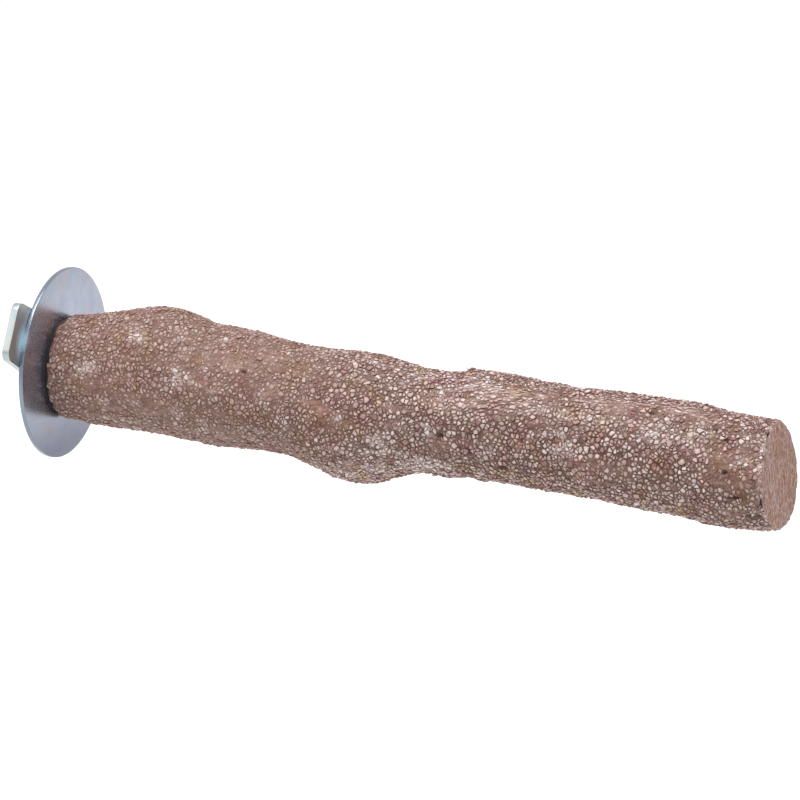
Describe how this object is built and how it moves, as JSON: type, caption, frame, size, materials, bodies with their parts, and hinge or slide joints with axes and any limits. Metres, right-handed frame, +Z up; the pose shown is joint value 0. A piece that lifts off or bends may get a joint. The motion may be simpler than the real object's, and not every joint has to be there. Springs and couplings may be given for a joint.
{
  "type": "bird perch",
  "caption": "Branch perch with a crushed mineral coating and a threaded stud, large flat washer and wing nut that clamp it to a cage's bars.",
  "frame": {"origin": "on the stud's axis, in the plane where the branch end meets the washer", "axes": "+X runs along the branch to its free end, +Z is up, -Y is the side seen from the front"},
  "size_m": [0.2108, 0.0598, 0.05],
  "materials": {
    "bare_wood": "sawn, unfinished",
    "mineral_grit": "rough crushed mineral set in brown resin",
    "bolt_steel": "zinc plated",
    "washer_steel": "bright zinc plated sheet",
    "nut_steel": "zinc plated, pressed"
  },
  "bodies": {
    "perch": {"branch_core": "bare_wood", "grit_coating": "mineral_grit", "hanger_bolt": "bolt_steel"},
    "washer": {"fender_washer": "washer_steel"},
    "nut": {"wing_nut": "nut_steel"}
  },
  "joints": [
    {"name": "washer_travel", "type": "slide", "parent": "perch", "child": "washer", "axis": [-1, 0, 0], "range_m": [0, 0.004]},
    {"name": "wing_nut_turn", "type": "hinge", "parent": "washer", "child": "nut", "pos_m": [-0.0012, 0, 0], "axis": [-1, 0, 0], "range_deg": [0, 1133]}
  ],
  "couplings": [
    {"joint": "washer_travel", "follows": "wing_nut_turn", "m_per_rad": 0.00020213}
  ]
}
